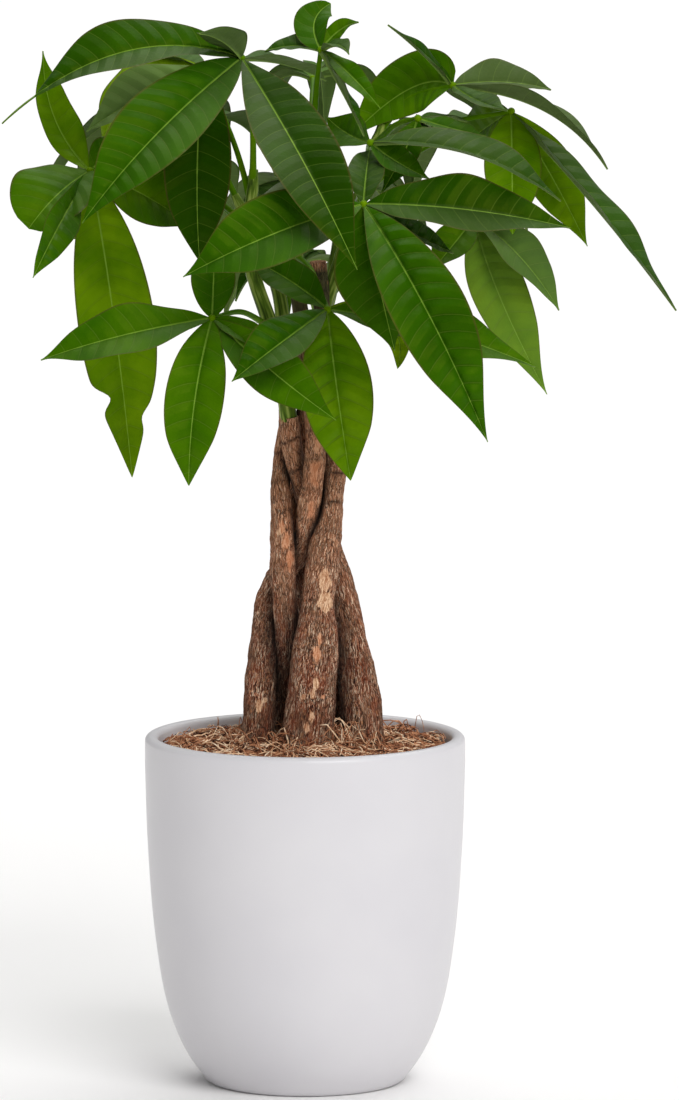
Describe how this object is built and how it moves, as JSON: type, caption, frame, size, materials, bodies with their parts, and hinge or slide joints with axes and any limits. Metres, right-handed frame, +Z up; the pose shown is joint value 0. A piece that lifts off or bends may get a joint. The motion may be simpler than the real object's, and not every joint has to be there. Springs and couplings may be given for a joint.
{
  "type": "potted money tree",
  "caption": "House plant with a braided woody trunk, green shoots and palmate leaves, standing in a tapered white ceramic pot.",
  "frame": {"origin": "centre of the pot's flat base, on the surface it stands on", "axes": "+Z up along the pot's axis; -Y is the front that the picture shows; +X to its right"},
  "size_m": [0.2456, 0.2327, 0.3981],
  "materials": {
    "ceramic": "satin white glaze",
    "soil": "matt, crumbly potting soil",
    "coir": "matt brown coir fibre",
    "bark": "rough fissured grey-brown bark",
    "shoot": "smooth green stem",
    "leaf": "semi-gloss living leaf"
  },
  "bodies": {
    "root": {"pot": "ceramic", "soil": "soil", "coir_mulch": "coir", "trunk_left": "bark", "shoot_left": "shoot", "trunk_right": "bark", "shoot_right": "shoot", "trunk_front": "bark", "shoot_front": "shoot", "trunk_back_left": "bark", "shoot_back_left": "shoot", "trunk_back_right": "bark", "shoot_back_right": "shoot", "leaf_top_left": "leaf", "leaf_top_left_back": "leaf", "leaf_far_left": "leaf", "leaf_low_left": "leaf", "leaf_low_centre": "leaf", "leaf_front_right": "leaf", "leaf_crown": "leaf", "leaf_top_right": "leaf", "leaf_far_right": "leaf", "leaf_mid_right": "leaf", "leaf_inner_right": "leaf", "leaf_low_right": "leaf", "leaf_back_1": "leaf", "leaf_back_2": "leaf", "leaf_back_3": "leaf", "leaf_back_4": "leaf", "leaf_back_5": "leaf", "leaf_back_6": "leaf", "leaf_back_7": "leaf"}
  },
  "joints": []
}
